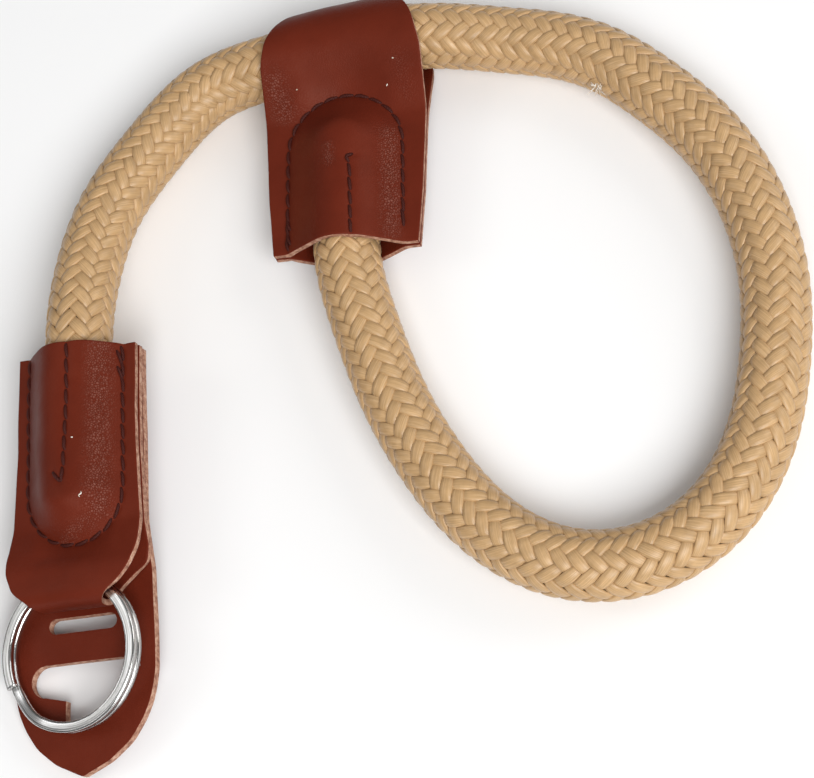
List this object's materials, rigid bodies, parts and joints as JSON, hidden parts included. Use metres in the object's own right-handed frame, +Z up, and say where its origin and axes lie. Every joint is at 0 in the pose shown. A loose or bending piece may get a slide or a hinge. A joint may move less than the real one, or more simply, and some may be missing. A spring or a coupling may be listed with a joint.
{
  "type": "rope hand strap for a camera",
  "caption": "Tan braided rope hand strap for a camera with a brown leather slider, and a sewn leather end tab with split ring and guard flap.",
  "frame": {"origin": "centre of the bounding box's bottom, on the table that the strap lies on", "axes": "+Z up from the table; +X across the loop away from the end tab; -Y towards the end that holds the split ring"},
  "size_m": [0.1257, 0.1244, 0.0168],
  "materials": {
    "rope_braid": "silky braided sleeve",
    "brown_leather": "smooth semi-gloss",
    "nickel_steel": "bright, lightly brushed flats"
  },
  "bodies": {
    "strap": {"rope": "rope_braid", "slider_leather": "brown_leather", "tab_leather": "brown_leather", "guard_flap": "brown_leather"},
    "ring": {"split_ring": "nickel_steel"}
  },
  "joints": [
    {"name": "ring_turn", "type": "hinge", "parent": "strap", "child": "ring", "pos_m": [-0.05104, -0.04408, 0.00652], "axis": [-0.248, -0.1401, 0.9586], "continuous": true}
  ]
}
